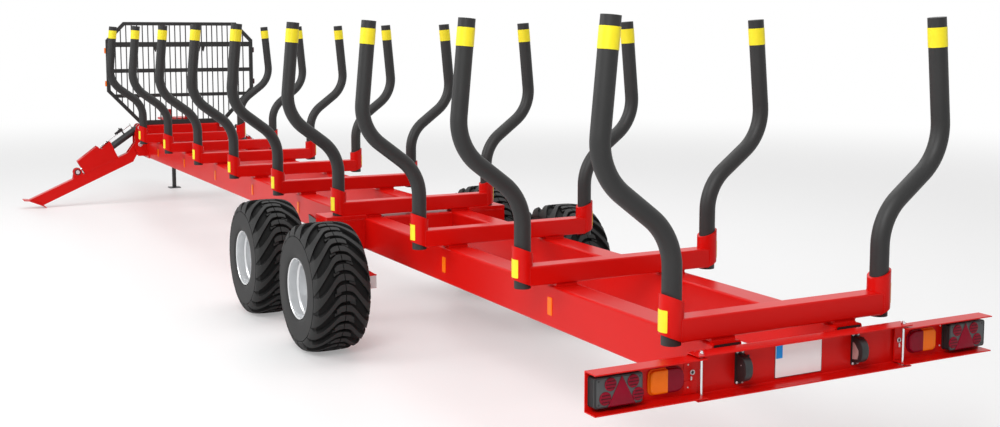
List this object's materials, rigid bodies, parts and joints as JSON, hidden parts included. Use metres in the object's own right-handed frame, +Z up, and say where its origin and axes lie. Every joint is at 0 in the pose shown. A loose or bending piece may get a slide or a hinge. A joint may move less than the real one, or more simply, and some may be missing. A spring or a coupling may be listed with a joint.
{
  "type": "forestry log trailer",
  "caption": "Red drawbar log trailer with dark cranked stakes in yellow bands, a grille headboard, bogie wheels, two support legs on rams and a folding rear light bar",
  "frame": {"origin": "on the ground, in the middle of the trailer's length and width", "axes": "+X towards the tow eye, +Y to the left, +Z up"},
  "size_m": [15.911, 4.3642, 2.578],
  "materials": {
    "red_paint": "glossy red paint",
    "charcoal_paint": "dark grey paint, half gloss",
    "black_paint": "black paint",
    "yellow_band": "yellow reflective band",
    "silver_paint": "silver paint",
    "chrome": "hard chromed rod",
    "tyre": "black rubber",
    "black_plastic": "black moulded plastic",
    "red_lens": "ribbed red lens",
    "amber_lens": "amber lens",
    "plate": "white pressed plate"
  },
  "bodies": {
    "frame": {"beam_left": "red_paint", "beam_right": "red_paint", "end_plates": "red_paint", "cross_box": "red_paint", "front_box": "red_paint", "bolsters": "red_paint", "stake_sleeves": "red_paint", "leg_column_left": "red_paint", "leg_column_right": "red_paint", "drawbar_head": "red_paint", "crane_seat": "red_paint", "bogie_hangers": "red_paint", "light_bar": "red_paint", "stakes_left": "charcoal_paint", "stakes_right": "charcoal_paint", "stake_bands": "yellow_band", "headboard_frame": "charcoal_paint", "headboard_bars": "charcoal_paint", "number_plate": "plate", "plate_lamps": "black_plastic", "wing_pins": "chrome"},
    "drawbar_body": {"drawbar": "red_paint"},
    "tow_eye_body": {"tow_eye": "black_paint"},
    "stand_body": {"parking_stand": "black_paint"},
    "bogie_left": {"bogie_beam_left": "red_paint"},
    "wheel_rear_left": {"rim_rear_left": "silver_paint", "tyre_rear_left": "tyre"},
    "wheel_front_left": {"rim_front_left": "silver_paint", "tyre_front_left": "tyre"},
    "leg_left": {"support_leg_left": "red_paint", "ram_cover_left": "red_paint"},
    "leg_barrel_left": {"leg_ram_barrel_left": "black_paint"},
    "leg_rod_left": {"leg_ram_rod_left": "chrome"},
    "steer_barrel_left": {"steering_ram_barrel_left": "black_paint"},
    "steer_rod_left": {"steering_ram_rod_left": "chrome"},
    "light_left": {"light_wing_left": "red_paint", "lamp_box_left": "black_plastic", "red_lenses_left": "red_lens", "amber_lens_left": "amber_lens"},
    "bogie_right": {"bogie_beam_right": "red_paint"},
    "wheel_rear_right": {"rim_rear_right": "silver_paint", "tyre_rear_right": "tyre"},
    "wheel_front_right": {"rim_front_right": "silver_paint", "tyre_front_right": "tyre"},
    "leg_right": {"support_leg_right": "red_paint", "ram_cover_right": "red_paint"},
    "leg_barrel_right": {"leg_ram_barrel_right": "black_paint"},
    "leg_rod_right": {"leg_ram_rod_right": "chrome"},
    "steer_barrel_right": {"steering_ram_barrel_right": "black_paint"},
    "steer_rod_right": {"steering_ram_rod_right": "chrome"},
    "light_right": {"light_wing_right": "red_paint", "lamp_box_right": "black_plastic", "red_lenses_right": "red_lens", "amber_lens_right": "amber_lens"}
  },
  "joints": [
    {"name": "bogie_rock_left", "type": "hinge", "parent": "frame", "child": "bogie_left", "pos_m": [-2.9745, 0.731, 0.494], "axis": [0, 1, 0], "range_deg": [-12, 12]},
    {"name": "wheel_spin_rear_left", "type": "hinge", "parent": "bogie_left", "child": "wheel_rear_left", "pos_m": [-3.7025, 1.0595, 0.494], "axis": [0, 1, 0], "continuous": true},
    {"name": "wheel_spin_front_left", "type": "hinge", "parent": "bogie_left", "child": "wheel_front_left", "pos_m": [-2.2465, 1.0595, 0.494], "axis": [0, 1, 0], "continuous": true},
    {"name": "leg_swing_left", "type": "hinge", "parent": "frame", "child": "leg_left", "pos_m": [5.4955, 0.588, 0.83578], "axis": [1, 0, 0], "range_deg": [0, 95]},
    {"name": "leg_ram_turn_left", "type": "hinge", "parent": "frame", "child": "leg_barrel_left", "pos_m": [5.4955, 0.588, 1.07778], "axis": [1, 0, 0], "range_deg": [0, 101.8]},
    {"name": "leg_ram_slide_left", "type": "slide", "parent": "leg_barrel_left", "child": "leg_rod_left", "axis": [0, -0.8202, 0.5721], "range_m": [0, 0.346]},
    {"name": "steering_ram_turn_left", "type": "hinge", "parent": "frame", "child": "steer_barrel_left", "pos_m": [5.8355, 0.4, 0.745], "axis": [0, 0, 1], "range_deg": [-12.36, 12.36]},
    {"name": "steering_ram_slide_left", "type": "slide", "parent": "steer_barrel_left", "child": "steer_rod_left", "axis": [0.9386, -0.3451, 0], "range_m": [-0.1408, 0.1408]},
    {"name": "light_wing_fold_left", "type": "hinge", "parent": "frame", "child": "light_left", "pos_m": [-7.9165, 0.655, 0.788], "axis": [0, 0, 1], "range_deg": [0, 90]},
    {"name": "bogie_rock_right", "type": "hinge", "parent": "frame", "child": "bogie_right", "pos_m": [-2.9745, -0.731, 0.494], "axis": [0, 1, 0], "range_deg": [-12, 12]},
    {"name": "wheel_spin_rear_right", "type": "hinge", "parent": "bogie_right", "child": "wheel_rear_right", "pos_m": [-3.7025, -1.0595, 0.494], "axis": [0, 1, 0], "continuous": true},
    {"name": "wheel_spin_front_right", "type": "hinge", "parent": "bogie_right", "child": "wheel_front_right", "pos_m": [-2.2465, -1.0595, 0.494], "axis": [0, 1, 0], "continuous": true},
    {"name": "leg_swing_right", "type": "hinge", "parent": "frame", "child": "leg_right", "pos_m": [5.4955, -0.588, 0.83578], "axis": [-1, 0, 0], "range_deg": [0, 95]},
    {"name": "leg_ram_turn_right", "type": "hinge", "parent": "frame", "child": "leg_barrel_right", "pos_m": [5.4955, -0.588, 1.07778], "axis": [-1, 0, 0], "range_deg": [0, 101.8]},
    {"name": "leg_ram_slide_right", "type": "slide", "parent": "leg_barrel_right", "child": "leg_rod_right", "axis": [0, 0.8202, 0.5721], "range_m": [0, 0.346]},
    {"name": "steering_ram_turn_right", "type": "hinge", "parent": "frame", "child": "steer_barrel_right", "pos_m": [5.8355, -0.4, 0.745], "axis": [0, 0, 1], "range_deg": [-12.36, 12.36]},
    {"name": "steering_ram_slide_right", "type": "slide", "parent": "steer_barrel_right", "child": "steer_rod_right", "axis": [0.9386, 0.3451, 0], "range_m": [-0.1408, 0.1408]},
    {"name": "light_wing_fold_right", "type": "hinge", "parent": "frame", "child": "light_right", "pos_m": [-7.9165, -0.655, 0.788], "axis": [0, 0, -1], "range_deg": [0, 90]},
    {"name": "drawbar_swing", "type": "hinge", "parent": "frame", "child": "drawbar_body", "pos_m": [6.1455, 0, 0.765], "axis": [0, 0, 1], "range_deg": [-30, 30]},
    {"name": "tow_eye_turn", "type": "hinge", "parent": "drawbar_body", "child": "tow_eye_body", "pos_m": [7.7255, 0, 0.56], "axis": [1, 0, 0], "continuous": true},
    {"name": "parking_stand_slide", "type": "slide", "parent": "drawbar_body", "child": "stand_body", "axis": [0, 0, 1], "range_m": [0, 0.42]}
  ],
  "couplings": [
    {"joint": "leg_ram_turn_left", "follows": "leg_swing_left", "ratio": 1.0663},
    {"joint": "leg_ram_slide_left", "follows": "leg_swing_left", "m_per_rad": 0.20744},
    {"joint": "steering_ram_turn_left", "follows": "drawbar_swing", "ratio": 0.40195},
    {"joint": "steering_ram_slide_left", "follows": "drawbar_swing", "m_per_rad": -0.26507},
    {"joint": "leg_ram_turn_right", "follows": "leg_swing_right", "ratio": 1.0663},
    {"joint": "leg_ram_slide_right", "follows": "leg_swing_right", "m_per_rad": 0.20744},
    {"joint": "steering_ram_turn_right", "follows": "drawbar_swing", "ratio": 0.40195},
    {"joint": "steering_ram_slide_right", "follows": "drawbar_swing", "m_per_rad": 0.26507}
  ]
}
